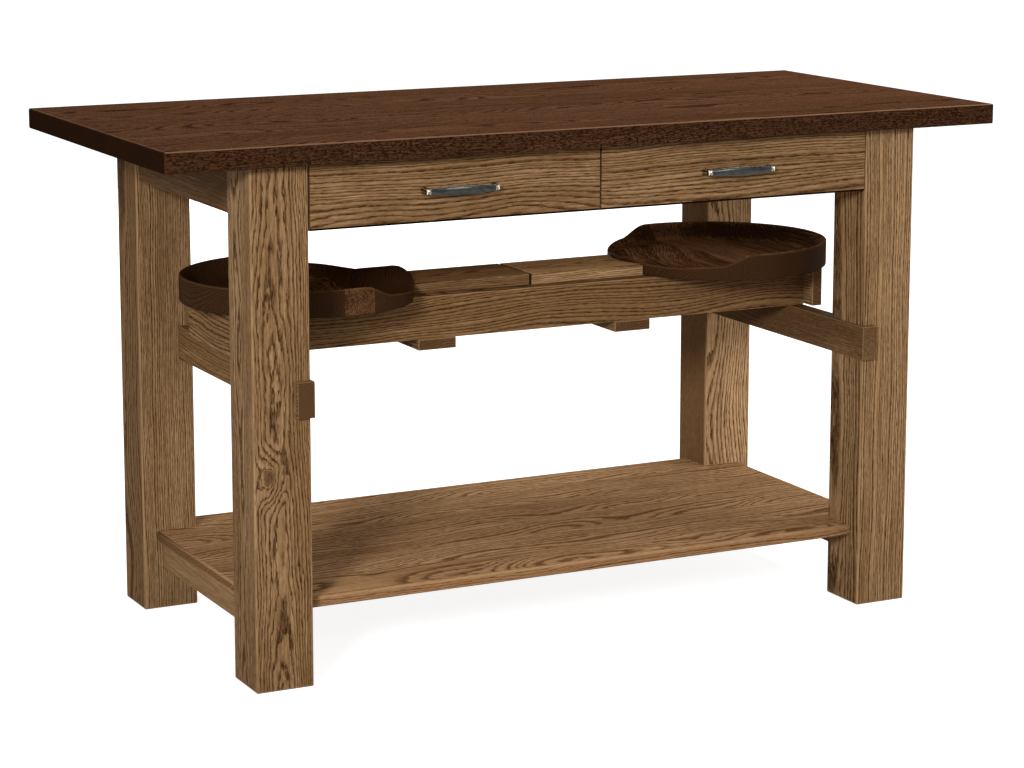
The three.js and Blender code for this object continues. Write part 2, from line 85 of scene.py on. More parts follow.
# %% Camera
camera_data = bpy.data.cameras.new("camera")
camera_data.sensor_width = 36
camera_data.lens = 100.45
camera_data.shift_y = -0.1
camera = bpy.data.objects.new("camera", camera_data)
camera.location = (-2.2949, -4.5758, 1.4721)
camera_pitch = 0.17001
camera_yaw = -0.46401
camera.rotation_euler = (math.pi / 2 - camera_pitch, 0, camera_yaw)
scene.collection.objects.link(camera)
scene.camera = camera
print("camera at", [round(v, 2) for v in camera.location])

# %% [markdown]
# ## Helpers for colour and nodes
#
# Colours are written as the hex values a paint chart would give. Blender works with linear
# light, so each is converted once. One helper adds a shader node with its settings, and feeds its
# sockets with links or plain values. Wood fibres and brush lines are long and thin, so another
# draws a noise out along one axis. Its scale is in waves per metre, along X, Y and Z.

# %% Helpers for colour and nodes
# Two settings that many nodes share
smooth, colours = {"interpolation_type": "SMOOTHSTEP"}, {"data_type": "RGBA"}


def linear(hex_value):
    channels = [int(hex_value[i:i + 2], 16) / 255 for i in (1, 3, 5)]
    bent = [c / 12.92 if c <= 0.04045 else ((c + 0.055) / 1.055) ** 2.4 for c in channels]
    return (*bent, 1)


def feed(tree, node, inputs):
    for name, value in inputs.items():
        if isinstance(value, bpy.types.NodeSocket):
            tree.links.new(value, node.inputs[name])
        else:
            node.inputs[name].default_value = value


def add_node(tree, kind, settings=None, inputs=None):
    node = tree.nodes.new(kind)
    for name, value in (settings or {}).items():
        setattr(node, name, value)
    feed(tree, node, inputs or {})
    return node


def drawn_out_noise(tree, at, shift, scale, detail, roughness=0.5):
    stretched = add_node(tree, "ShaderNodeMapping", None, {
        "Vector": at, "Location": shift, "Scale": scale})
    return add_node(tree, "ShaderNodeTexNoise", None, {
        "Vector": stretched.outputs["Vector"], "Scale": 1, "Detail": detail,
        "Roughness": roughness})


def new_material(name):
    material = bpy.data.materials.new(name)
    material.use_nodes = True
    tree = material.node_tree
    place = add_node(tree, "ShaderNodeTexCoord")
    return material, tree, tree.nodes["Principled BSDF"], place


print("mid grey #808080 is", round(linear("#808080")[0], 3), "in linear light")

# %% [markdown]
# ## Stained oak
#
# Real name: red oak, flat sawn, planed, stained brown and sprayed with a thin lacquer. Oak is
# ring porous: each year starts with a band of open pores, which soak up stain and turn dark,
# and ends with dense wood, which stays light. A flat picture of grain would not turn the corner
# from face to end, so the tree itself is modelled here: rings round a heart line that wanders,
# and a board only shows where its faces cut them. Each stain is a small chart: dense wood, the
# plainer wood between, pores and cut ends, and for some pieces the colour of their edges.

# %% Stains and grain directions
grain_turns = {
    "X": Matrix(((1, 0, 0), (0, 1, 0), (0, 0, 1))),
    "Y": Matrix(((0, 1, 0), (-1, 0, 0), (0, 0, 1))),
    "Z": Matrix(((0, 0, 1), (1, 0, 0), (0, 1, 0))),
}
# The near-black edge colour is painted shade for the drawer fronts' edges and the gap round them
brown_stain = {"dense": "#ab8862", "plain": "#80603f", "pore": "#3b2411", "end": "#5a3f29",
               "edge": "#160b06"}
deep_stain = {"dense": "#92704d", "plain": "#654a30", "pore": "#3a2412", "end": "#5a3f29"}
pale_stain = {"dense": "#c6a075", "plain": "#846443", "pore": "#4f3418", "end": "#6b4c31"}
shelf_stain = {"dense": "#c79e73", "plain": "#9c7550", "pore": "#5c3b21", "end": "#7d5e40"}
dark_stain = {"dense": "#8e6544", "plain": "#3e2817", "pore": "#2a1a0e", "end": "#3a2515"}
# The top's pale edge colour is a painted highlight along its upper edges, with some wear
top_stain = {"dense": "#62422d", "plain": "#4a301d", "pore": "#22120b", "end": "#1a0f08",
             "edge_wear_and_light": "#84644b"}
print("tone of the dense wood", [round(v, 3) for v in linear(brown_stain["dense"])[:3]])

# %% [markdown]
# ### Staves
#
# A wide panel is glued up from staves, each cut from another place in the log. White noise gives
# every stave a random colour, whose three channels move its cut along and across the log, and a
# random value, which makes it lighter or darker than its neighbours.

# %% Staves
stave_moves = (3, 0.06, -0.05)


def cut_into_staves(tree, wood, stave, seed):
    parts = add_node(tree, "ShaderNodeSeparateXYZ", None, {"Vector": wood})
    shifted = add_node(tree, "ShaderNodeMath", {"operation": "MULTIPLY_ADD"}, {
        0: parts.outputs["Y"], 1: 1 / (stave * mm), 2: 0.5 + seed})
    count = add_node(tree, "ShaderNodeMath", {"operation": "FLOOR"}, {0: shifted.outputs[0]})
    luck = add_node(tree, "ShaderNodeTexWhiteNoise", {"noise_dimensions": "1D"}, {
        "W": count.outputs[0]})
    inside = add_node(tree, "ShaderNodeMath", {"operation": "SUBTRACT"}, {
        0: shifted.outputs[0], 1: count.outputs[0]})
    across = add_node(tree, "ShaderNodeMath", {"operation": "MULTIPLY_ADD"}, {
        0: inside.outputs[0], 1: stave * mm, 2: -stave * mm / 2})
    alone = add_node(tree, "ShaderNodeCombineXYZ", None, {
        "X": parts.outputs["X"], "Y": across.outputs[0], "Z": parts.outputs["Z"]})
    moved = add_node(tree, "ShaderNodeVectorMath", {"operation": "MULTIPLY_ADD"}, {
        0: luck.outputs["Color"], 1: stave_moves, 2: alone.outputs[0]})
    return moved.outputs[0], luck.outputs["Value"]


print("a stave's cut moves up to", stave_moves[0], "m along the log")

# %% [markdown]
# ### Distance from the heart
#
# Rings are tubes round the heart of the tree, so a point's distance from the heart tells its
# year. The heart line wanders slowly, which bends the rings into tall arches on a flat-sawn face,
# a quicker wave ripples them, and their edges are jagged, because pores come in short rows. Each
# of these is a noise drawn out along the grain, the first scale, and tight across it. The factors
# on the seed only keep one board's patterns from matching another's.

# %% Distance from the heart
wander_scale, ripple_scale, jag_scale = (2.6, 6, 6), (9, 32, 32), (45, 240, 240)
jag_depth = 2.4 * mm


def distance_from_heart(tree, wood, seed, wander, ripple):
    slow = drawn_out_noise(tree, wood, (seed * 3.7, seed * 1.3, seed), wander_scale, detail=1)
    bent = add_node(tree, "ShaderNodeVectorMath", {"operation": "MULTIPLY_ADD"}, {
        0: slow.outputs["Color"], 1: (0, wander * mm, wander * mm), 2: wood})
    quick = drawn_out_noise(tree, wood, (seed, seed * 2.9, seed * 5.1), ripple_scale, detail=2)
    rippled = add_node(tree, "ShaderNodeVectorMath", {"operation": "MULTIPLY_ADD"}, {
        0: quick.outputs["Color"], 1: (0, ripple * mm, ripple * mm), 2: bent.outputs[0]})
    flat = add_node(tree, "ShaderNodeVectorMath", {"operation": "MULTIPLY"}, {
        0: rippled.outputs[0], 1: (0, 1, 1)})
    away = add_node(tree, "ShaderNodeVectorMath", {"operation": "LENGTH"}, {0: flat.outputs[0]})
    jag = drawn_out_noise(tree, wood, (seed * 0.7, seed, 0), jag_scale, detail=2)
    jagged = add_node(tree, "ShaderNodeMath", {"operation": "MULTIPLY_ADD"}, {
        0: jag.outputs["Fac"], 1: jag_depth, 2: away.outputs["Value"]})
    return jagged.outputs[0]


print("a wave of the heart line is about", round(1000 / wander_scale[0]), "mm long")

# %% [markdown]
# ### A knot
#
# A knot is the foot of a branch. Two swells are added to the distance from the heart: a steep
# cone, whose tight rings are the branch, and a wide smooth one, which leads the rings of the
# trunk round it. Their numbers are one over their reach in metres, along X, Y and Z. The wood is
# darkest in the middle of the cone.

# %% A knot
branch_cone, trunk_swell = (70, 6, 52), (26, 6, 13)
knot_height, knot_roughness = 9 * mm, 9 * mm
rough_per_metre = 90


def swell_at_knot(tree, place, knot, radius):
    rough_spot = add_node(tree, "ShaderNodeTexNoise", None, {
        "Vector": place.outputs["Object"], "Scale": rough_per_metre, "Detail": 2})
    off = add_node(tree, "ShaderNodeVectorMath", {"operation": "SUBTRACT"}, {
        0: place.outputs["Object"], 1: Vector(knot) * mm})
    uneven_off = add_node(tree, "ShaderNodeVectorMath", {"operation": "MULTIPLY_ADD"}, {
        0: rough_spot.outputs["Color"], 1: (knot_roughness, 0, knot_roughness),
        2: off.outputs[0]})
    for drawn_by, kind in ((branch_cone, "LINEAR"), (trunk_swell, "SMOOTHERSTEP")):
        drawn = add_node(tree, "ShaderNodeVectorMath", {"operation": "MULTIPLY"}, {
            0: uneven_off.outputs[0], 1: drawn_by})
        reach = add_node(tree, "ShaderNodeVectorMath", {"operation": "LENGTH"}, {
            0: drawn.outputs[0]})
        swell = add_node(tree, "ShaderNodeMapRange", {"interpolation_type": kind}, {
            "Value": reach.outputs["Value"], "From Max": 1.0, "To Min": knot_height, "To Max": 0})
        radius = add_node(tree, "ShaderNodeMath", {"operation": "ADD"}, {
            0: radius, 1: swell.outputs[0]}).outputs[0]
        if drawn_by == branch_cone:
            shade = add_node(tree, "ShaderNodeMapRange", smooth, {
                "Value": reach.outputs["Value"], "From Min": 0.3, "From Max": 1.1,
                "To Min": 0.7, "To Max": 0}).outputs[0]
    return radius, shade


print("the knot's cone reaches", round(1000 / branch_cone[0]), "mm sideways")

# %% [markdown]
# ### Years and pores
#
# Rings are of uneven width. Each opens sharply with its band of pores, which fades over the first
# two thirds of the year. Pores are 0.3 mm wide and 5 to 10 mm long. They are drawn about 1.6 mm
# wide, and 13 mm long where nothing else is said, so that they show. Within a band they are packed
# tight. Stray ones lie between the bands, more or fewer on a board's sides than on its best face,
# and how squarely a surface looks along that face's axis tells face from side.

# %% Years and pores
uneven_per_metre, uneven_years = 70, 2.4
band_opened, band_fades, band_closed = 0.08, 0.2, 0.66
pores_per_metre, pore_from, pore_to, between_pores = 620, 0.44, 0.58, 0.66
side_begins, side_ends = 0.5, 0.9


def porous_bands(tree, radius, ring_width):
    uneven = add_node(tree, "ShaderNodeTexNoise", {"noise_dimensions": "1D"}, {
        "W": radius, "Scale": uneven_per_metre, "Detail": 1})
    rings = add_node(tree, "ShaderNodeMath", {"operation": "DIVIDE"}, {
        0: radius, 1: ring_width * mm})
    years = add_node(tree, "ShaderNodeMath", {"operation": "MULTIPLY_ADD"}, {
        0: uneven.outputs["Fac"], 1: uneven_years, 2: rings.outputs[0]})
    season = add_node(tree, "ShaderNodeMath", {"operation": "FRACT"}, {0: years.outputs[0]})
    opens = add_node(tree, "ShaderNodeMapRange", smooth, {
        "Value": season.outputs[0], "From Min": 0, "From Max": band_opened})
    closes = add_node(tree, "ShaderNodeMapRange", smooth, {
        "Value": season.outputs[0], "From Min": band_fades, "From Max": band_closed,
        "To Min": 1, "To Max": 0})
    early = add_node(tree, "ShaderNodeMath", {"operation": "MULTIPLY"}, {
        0: opens.outputs[0], 1: closes.outputs[0]})
    return early.outputs[0]


def open_pores(tree, wood, early, level, seed, fleck_length, flecks, side_flecks):
    pore_scale = (1000 / fleck_length, pores_per_metre, pores_per_metre)
    pores = drawn_out_noise(tree, wood, (seed, seed, seed), pore_scale, detail=2, roughness=0.6)
    dashes = add_node(tree, "ShaderNodeMapRange", smooth, {
        "Value": pores.outputs["Fac"], "From Min": pore_from, "From Max": pore_to})
    packed = add_node(tree, "ShaderNodeMapRange", None, {
        "Value": dashes.outputs[0], "To Min": between_pores, "To Max": 1})
    in_band = add_node(tree, "ShaderNodeMath", {"operation": "MULTIPLY"}, {
        0: early, 1: packed.outputs[0]})
    depth = add_node(tree, "ShaderNodeMapRange", None, {
        "Value": level, "From Min": side_begins, "From Max": side_ends,
        "To Min": side_flecks, "To Max": flecks})
    stray = add_node(tree, "ShaderNodeMath", {"operation": "MULTIPLY"}, {
        0: dashes.outputs[0], 1: depth.outputs[0]})
    return add_node(tree, "ShaderNodeMath", {"operation": "MAXIMUM"}, {
        0: in_band.outputs[0], 1: stray.outputs[0]}).outputs[0]


print("pores drawn", round(1000 / pores_per_metre, 1), "mm wide")

# %% [markdown]
# ### Tone of the wood
#
# Between the pores the wood runs from plain to dense. Fine fibres and a slow drift of colour
# move it along that run, a board's own tone moves all of it, and the sides beside its best face
# are made darker or lighter, which is mostly painted shade and light and partly stain.

# %% Tone of the wood
fibre_scale, drift_scale = (9, 210, 210), (1.6, 14, 14)
drift_part, tone_pull = 0.4, 0.3
all_plain, all_dense = 0.54, 0.76


def share_of_dense(tree, wood, level, seed, tone, side_tone_and_shade):
    fibres = drawn_out_noise(
        tree, wood, (seed * 2, seed, 0), fibre_scale, detail=4, roughness=0.65)
    drift = drawn_out_noise(tree, wood, (0, seed, seed * 2), drift_scale, detail=2)
    mixed = add_node(tree, "ShaderNodeMix", None, {
        "Factor": drift_part, 2: fibres.outputs["Fac"], 3: drift.outputs["Fac"]})
    toned = add_node(tree, "ShaderNodeMath", {"operation": "MULTIPLY_ADD"}, {
        0: tone, 1: tone_pull, 2: mixed.outputs[0]})
    # Sides beside the best face are darkened or lightened: mostly painted shade and light, partly
    # stain
    side_stain_and_shade = add_node(tree, "ShaderNodeMapRange", None, {
        "Value": level, "From Min": side_begins, "From Max": side_ends,
        "To Min": side_tone_and_shade, "To Max": 0})
    surface_tone = add_node(tree, "ShaderNodeMath", {"operation": "ADD"}, {
        0: toned.outputs[0], 1: side_stain_and_shade.outputs[0]})
    return add_node(tree, "ShaderNodeMapRange", None, {
        "Value": surface_tone.outputs[0], "From Min": all_plain, "From Max": all_dense}).outputs[0]


print("fibres drawn", round(1000 / fibre_scale[1], 1), "mm apart")

# %% [markdown]
# ### Lacquer
#
# A thin lacquer lies over open pores: they dip by a tenth of a millimetre and shine less. The
# photographed piece hardly shines, so its reflection is kept low. Only the seats have a polish,
# which sitting and wiping take off the flat, so it is left on their upright edges.

# %% Lacquer
lacquer_ior, polish_roughness = 1.45, 0.32
wood_roughness, pore_roughness, pore_dip = 0.4, 0.6, 0.1 * mm


def lacquer(tree, surface, stained, level, shine, polish):
    gloss = add_node(tree, "ShaderNodeMapRange", None, {
        "Value": stained, "To Min": wood_roughness, "To Max": pore_roughness})
    relief = add_node(tree, "ShaderNodeBump", {"invert": True}, {
        "Strength": 0.5, "Distance": pore_dip, "Height": stained})
    feed(tree, surface, {
        "Roughness": gloss.outputs[0], "Normal": relief.outputs["Normal"],
        "IOR": lacquer_ior, "Specular IOR Level": shine})
    if polish:
        kept = add_node(tree, "ShaderNodeMapRange", None, {
            "Value": level, "From Min": 0.15, "From Max": 0.5, "To Min": polish, "To Max": 0})
        feed(tree, surface, {
            "Coat Weight": kept.outputs[0], "Coat Roughness": polish_roughness,
            "Coat IOR": lacquer_ior})


print("lacquer ready")

# %% [markdown]
# ### The whole finish
#
# One function puts these steps together for one board. `grain` is the axis its fibres run along,
# `heart` the heart of the tree, in millimetres from the board's middle, `taper` the lean of the
# log in degrees, and the widths, waves and pores are in millimetres. `tone` runs from plain, 0, to
# dense, 1, `spread` is how far staves differ in it, and `side_tone_and_shade` is added on the
# sides, mostly as painted shade and light. `bite` is how dark pores turn, and `flecks` how dark
# the stray ones are. Cut ends drink more stain, by `thirst`. Eased edges, which the mesh marks as
# `edge_wear_and_painted_light`, take the colour `edge_wear_and_light_colour` by
# `edge_wear_and_light_strength`: a lighter one is a painted highlight with some wear, a near-black
# one painted shade.

# %% The whole finish
end_begins, end_full = 0.75, 0.95


def stained_oak(node, grain, heart, stain, seed, name=None, taper=0.8, wander=30, ripple=3,
                ring_width=3.5, bite=1.0, stave=None, tone=0.5, spread=0.35, side_tone_and_shade=0.0,
                best_face="Z", thirst=0.8, flecks=0.32, side_flecks=0.32, fleck_length=13,
                shine=0.004, polish=0.0, knot=None, edge_wear_and_light_colour="dense", edge_wear_and_light_strength=0.45):
    material, tree, surface, place = new_material(name or "stained red oak, " + node)
    low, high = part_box(node)
    turn = Matrix.Rotation(math.radians(taper), 3, "Y") @ grain_turns[grain]
    start = -(turn @ ((low + high) / 2 + Vector(heart) * mm))
    board = add_node(tree, "ShaderNodeMapping", None, {
        "Vector": place.outputs["Object"], "Location": start, "Rotation": turn.to_euler("XYZ")})
    wood = board.outputs["Vector"]
    upright = add_node(tree, "ShaderNodeSeparateXYZ", None, {"Vector": place.outputs["Normal"]})
    level = add_node(tree, "ShaderNodeMath", {"operation": "ABSOLUTE"}, {
        0: upright.outputs[best_face]}).outputs[0]

    if stave:
        wood, luck = cut_into_staves(tree, wood, stave, seed)
        tone = add_node(tree, "ShaderNodeMapRange", None, {
            "Value": luck, "To Min": tone - spread / 2, "To Max": tone + spread / 2}).outputs[0]
    radius = distance_from_heart(tree, wood, seed, wander, ripple)
    knot_shade = 0.0
    if knot:
        radius, knot_shade = swell_at_knot(tree, place, knot, radius)
    early = porous_bands(tree, radius, ring_width)
    spotted = open_pores(tree, wood, early, level, seed, fleck_length, flecks, side_flecks)
    stained = add_node(tree, "ShaderNodeMath", {"operation": "MAXIMUM"}, {
        0: spotted, 1: knot_shade}).outputs[0]

    body = add_node(tree, "ShaderNodeMix", colours, {
        "Factor": share_of_dense(tree, wood, level, seed, tone, side_tone_and_shade),
        6: linear(stain["plain"]), 7: linear(stain["dense"])})
    facing = add_node(tree, "ShaderNodeVectorMath", {"operation": "DOT_PRODUCT"}, {
        0: place.outputs["Normal"], 1: grain_turns[grain].transposed() @ Vector((1, 0, 0))})
    ends = add_node(tree, "ShaderNodeMath", {"operation": "ABSOLUTE"}, {0: facing.outputs["Value"]})
    ended = add_node(tree, "ShaderNodeMapRange", None, {
        "Value": ends.outputs[0], "From Min": end_begins, "From Max": end_full, "To Max": thirst})
    with_ends = add_node(tree, "ShaderNodeMix", colours, {
        "Factor": ended.outputs[0], 6: body.outputs[2], 7: linear(stain["end"])})
    bitten = add_node(tree, "ShaderNodeMath", {"operation": "MULTIPLY"}, {0: stained, 1: bite})
    grained = add_node(tree, "ShaderNodeMix", colours, {
        "Factor": bitten.outputs[0], 6: with_ends.outputs[2], 7: linear(stain["pore"])})
    # Eased edges: a painted highlight with some wear, or painted shade where the edge colour is
    # dark
    edge_wear_and_light = add_node(tree, "ShaderNodeAttribute", {"attribute_name": "edge_wear_and_painted_light"})
    edge_wear_and_light_share = add_node(tree, "ShaderNodeMath", {"operation": "MULTIPLY"}, {
        0: edge_wear_and_light.outputs["Fac"], 1: edge_wear_and_light_strength})
    finished = add_node(tree, "ShaderNodeMix", colours, {
        "Factor": edge_wear_and_light_share.outputs[0], 6: grained.outputs[2], 7: linear(stain[edge_wear_and_light_colour])})
    feed(tree, surface, {"Base Color": finished.outputs[2]})
    lacquer(tree, surface, stained, level, shine, polish)
    return material


print("oak ready")

# %% [markdown]
# ## Boards with eased edges
#
# A joiner takes every sharp corner off with a plane or a round-over bit: 3 or 4 mm on legs, top
# and shelf, less on thin boards. Such an edge catches a line of light, which is what makes a
# board read as solid wood. A board here starts as a plain block between its CAD node's limits, or
# as an outline drawn out along one axis, and one bevel over its outer edges rounds them. The new
# faces are marked, so that the material can paint a lighter line there, a painted highlight with
# some wear, or on the drawer fronts a near-black line of painted shade. Faces that look down are
# left out, as they catch no light, unless a board asks for them.

# %% Helpers for boards
touching = 0.01 * mm
looking_down, any_way = -0.3, -1


def outer_edges(bm, low, high):
    found = []
    for edge in bm.edges:
        middle = (edge.verts[0].co + edge.verts[1].co) / 2
        limits = sum(
            min(abs(middle[i] - low[i]), abs(middle[i] - high[i])) < touching for i in range(3))
        if limits >= 2:
            found.append(edge)
    return found


def ease(bm, edges, radius, segments=3, lowest=looking_down):
    edge_wear_and_light = bm.faces.layers.float.get("edge_wear_and_painted_light") or bm.faces.layers.float.new("edge_wear_and_painted_light")
    made = bmesh.ops.bevel(
        bm, geom=edges, offset=radius * mm, offset_type="OFFSET", segments=segments,
        profile=0.5, affect="EDGES", clamp_overlap=True, material=-1)
    bm.normal_update()
    # Marked faces take the edge colour: a painted highlight with some wear, or painted shade on the
    # drawer fronts; faces looking down are left out unless a board asks
    for face in made["faces"]:
        face[edge_wear_and_light] = 1.0 if face.normal.z > lowest else 0.0


def finish_piece(bm, name, node, material):
    bmesh.ops.recalc_face_normals(bm, faces=bm.faces)
    mesh = bpy.data.meshes.new(name)
    bm.to_mesh(mesh)
    bm.free()
    for face in mesh.polygons:
        face.use_smooth = True
    mesh.materials.append(material)
    piece = bpy.data.objects.new(name, mesh)
    scene.collection.objects.link(piece)
    shading = piece.modifiers.new("even shading", "WEIGHTED_NORMAL")
    shading.keep_sharp = True
    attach(piece, cad_nodes[node]["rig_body"])
    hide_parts(node)
    return piece


def block(low, high):
    bm = bmesh.new()
    bmesh.ops.create_cube(bm, size=1)
    bmesh.ops.scale(bm, vec=high - low, verts=bm.verts)
    bmesh.ops.translate(bm, vec=(low + high) / 2, verts=bm.verts)
    return bm


def notched(outer, inner, bottom, top, notch_low, notch_high, depth):
    sunk = inner + (depth if outer > inner else -depth)
    return [
        (outer, bottom), (inner, bottom), (inner, notch_low), (sunk, notch_low),
        (sunk, notch_high), (inner, notch_high), (inner, top), (outer, top)]


def drawn_out(points, axis, start, end):
    bm = bmesh.new()
    places = {"X": lambda a, b: (start, a, b), "Y": lambda a, b: (a, start, b),
              "Z": lambda a, b: (a, b, start)}
    corners = [bm.verts.new(places[axis](a, b)) for a, b in points]
    face = bm.faces.new(corners)
    pulled = bmesh.ops.extrude_face_region(bm, geom=[face])
    moved = [v for v in pulled["geom"] if isinstance(v, bmesh.types.BMVert)]
    step = Vector([(end - start) if axis == letter else 0 for letter in "XYZ"])
    bmesh.ops.translate(bm, vec=step, verts=moved)
    return bm


# %% [markdown]
# ## Plain boards
#
# Most of the carcass is boards with nothing cut into them. The table below gives each one's
# node, the axis its grain runs along, where the heart of its tree lay, measured in millimetres
# from the board's middle, and how light its wood is. A heart close behind a face gives tall
# arches on it, and a heart far to one side gives straight lines. Some boards have a cut of their
# own: rings closer together, a heart line that wanders less, or another stain.

# %% Plain boards
plain_boards = [
    ("apron_left", "Y", (300, 0, -120), 0.1), ("apron_right", "Y", (-55, 0, -60), 0.5),
    ("apron_back", "X", (0, -48, 12), 0.5), ("drawer_rail_front", "X", (0, 30, 60), 0.5),
    ("shelf_rail_left", "Y", (90, 0, 70), 0.5), ("shelf_rail_right", "Y", (-60, 0, 14), 0.5),
    ("seat_stretcher_left", "Y", (90, 0, -70), 0.0),
    ("seat_stretcher_right", "Y", (90, 0, 110), 0.25),
    ("seat_end_board_left", "Y", (110, 0, 80), 0.4),
    ("seat_end_board_right", "Y", (10, 0, 80), 0.6),
    ("seat_tie_left", "Y", (8, 0, -56), 0.3), ("seat_tie_right", "Y", (-10, 0, -60), 0.3),
    ("drawer_front_left", "X", (0, 64, -44), 0.35), ("drawer_front_right", "X", (0, 70, -62), 0.3),
]
board_round, drawer_round, underside_round = 1.5, 2.4, 4
# A near-black line along the edges of the drawer fronts, widest underneath, is painted shade
drawer_cut = {"ring_width": 4.2, "edge_wear_and_light_colour": "edge", "edge_wear_and_light_strength": 1.0}
straight_cut = {"ring_width": 2.4, "wander": 8, "ripple": 1.5, "bite": 0.45}
own_cuts = {
    "drawer_front_left": drawer_cut, "drawer_front_right": drawer_cut,
    "apron_left": {**straight_cut, "stain": deep_stain},
    "seat_stretcher_right": {**straight_cut, "stain": deep_stain, "thirst": 0.2, "bite": 0.8,
                             "side_flecks": 0.5},
    "seat_stretcher_left": {"bite": 0.7, "edge_wear_and_light_strength": 0.1, "thirst": 1.0},
    "shelf_rail_left": straight_cut,
}
for number, (node, grain, heart, tone) in enumerate(plain_boards):
    low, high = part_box(node)
    board = block(low, high)
    is_drawer = "drawer_front" in node
    if is_drawer:
        under = [e for e in board.edges if max(v.co.z for v in e.verts) < low.z + mm
                 and max(v.co.y for v in e.verts) < low.y + mm]
        ease(board, under, underside_round, lowest=any_way)
    ease(board, outer_edges(board, low, high), drawer_round if is_drawer else board_round,
         lowest=any_way if is_drawer else looking_down)
    cut = {"stain": brown_stain, "tone": tone, **own_cuts.get(node, {})}
    wood = stained_oak(node, grain, heart, seed=1.7 * number, **cut)
    finish_piece(board, node + "_board", node, wood)
print(len(plain_boards), "plain boards")

# %% [markdown]
# ## Legs
#
# Each leg is a 102 mm square post. On its inner side it is housed for the seat stretcher, which
# passes from front to back and stands a little proud of it. The outline with its notch is drawn
# as a face and pulled through the depth of the leg, and only the outer corners are eased, so the
# shoulders of the joint stay crisp.

# %% Legs
# Heart of the tree, tone, width of a ring, and tone of the sides, which is mostly painted shade
leg_figures = {
    "leg_front_left": ((9, 27, 0), 0.33, 2.5, 0.02),
    "leg_back_left": ((-210, 60, 0), 0.5, 3.2, -0.25),
    "leg_front_right": ((170, 66, 0), 0.6, 3.8, -0.03),
    "leg_back_right": ((-36, 84, 0), 0.8, 3.4, -1.0),
}
leg_round = 3
notch_low, notch_high = 458.7 * mm, 520.8 * mm
housing_depth = 26.5 * mm
knot_place = (-609, -328, 368)
for number, (node, (heart, tone, ring_width, side_tone_and_shade)) in enumerate(leg_figures.items()):
    low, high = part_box(node)
    outer, inner = (low.x, high.x) if low.x < 0 else (high.x, low.x)
    outline = notched(outer, inner, low.z, high.z, notch_low, notch_high, housing_depth)
    leg = drawn_out(outline, "Y", low.y, high.y)
    ease(leg, outer_edges(leg, low, high), leg_round)
    wavy = node == "leg_front_left"
    # The back right leg takes the paler stain: partly its wood, partly painted light for the
    # stronger light on its front
    stain = pale_stain if node == "leg_back_right" else brown_stain
    wood = stained_oak(
        node, "Z", heart, stain, 31 + 2.3 * number,
        ripple=6 if wavy else 3, ring_width=ring_width, tone=tone, side_tone_and_shade=side_tone_and_shade,
        best_face="Y", knot=knot_place if wavy else None)
    finish_piece(leg, node + "_post", node, wood)
print(len(leg_figures), "legs")

# %% [markdown]
# ## Shelf and top
#
# Wide panels are glued up from staves about 100 mm wide, and each stave comes from another part
# of the log, so the figure changes every hand's breadth. The shelf is notched round the legs. The
# top carries the dark stain, which hides most of the figure but not the pores.

# %% Shelf and top
shelf_round, top_round = 4, 3
low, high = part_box("shelf")
leg_x, leg_y = 537.7 * mm, 225.7 * mm
outline = [
    (-leg_x, low.y), (leg_x, low.y), (leg_x, -leg_y), (high.x, -leg_y),
    (high.x, leg_y), (leg_x, leg_y), (leg_x, high.y), (-leg_x, high.y),
    (-leg_x, leg_y), (low.x, leg_y), (low.x, -leg_y), (-leg_x, -leg_y),
]
shelf = drawn_out(outline, "Z", low.z, high.z)
ease(shelf, outer_edges(shelf, low, high), shelf_round, segments=4)
shelf_wood = stained_oak(
    "shelf", "X", (0, 0, -150), shelf_stain, 51.4,
    wander=60, stave=101, taper=0.9, ring_width=3.2, tone=0.6, spread=0.25, side_tone_and_shade=-0.4,
    shine=0.0, edge_wear_and_light_strength=0.3)
finish_piece(shelf, "shelf_panel", "shelf", shelf_wood)

low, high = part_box("tabletop")
top = block(low, high)
ease(top, list(top.edges), top_round, segments=4)
# Only the upper edges in front and behind get the lighter edge colour: a painted highlight, with
# some wear
edge_wear_and_light = top.faces.layers.float["edge_wear_and_painted_light"]
for face in top.faces:
    if face.normal.z < 0.5 or abs(face.normal.x) > 0.3:
        face[edge_wear_and_light] = 0.0
top_wood = stained_oak(
    "tabletop", "X", (0, 0, -120), top_stain, 63.2, name="dark stained red oak, top",
    wander=60, stave=102, taper=0.6, ring_width=3.4, tone=0.8, spread=0.2, side_tone_and_shade=-0.17,
    flecks=0.55, side_flecks=1.0, fleck_length=5, shine=0.0, edge_wear_and_light_colour="edge_wear_and_light", edge_wear_and_light_strength=0.55)
finish_piece(top, "tabletop_panel", "tabletop", top_wood)
print("shelf and top, each of seven or so staves")

# %% [markdown]
# ## Rails and arms of the pull-out seats
#
# The two long rails have a groove along their inner faces, in which the tongues of the seat
# runners slide. Each arm is full thickness up to the seat and then steps down to a tongue that
# is let in under it. Both are profiles pulled along X or Y.

# %% Rails and arms
groove_depth, groove_low, groove_high = 9.5 * mm, 577.9 * mm, 590.9 * mm
rails = (("seat_rail_front", (60, 34, -26), 71.6), ("seat_rail_back", (0, -40, 18), 74.1))
for node, heart, seed in rails:
    low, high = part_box(node)
    inner, outer = (high.y, low.y) if low.y < 0 else (low.y, high.y)
    outline = notched(outer, inner, low.z, high.z, groove_low, groove_high, groove_depth)
    rail = drawn_out(outline, "X", low.x, high.x)
    ease(rail, outer_edges(rail, low, high), board_round)
    wood = stained_oak(
        node, "X", heart, brown_stain, seed, wander=44, tone=0.08, ring_width=4.8)
    finish_piece(rail, node + "_board", node, wood)

shoulder_x, tongue_top = 232 * mm, 607.4 * mm
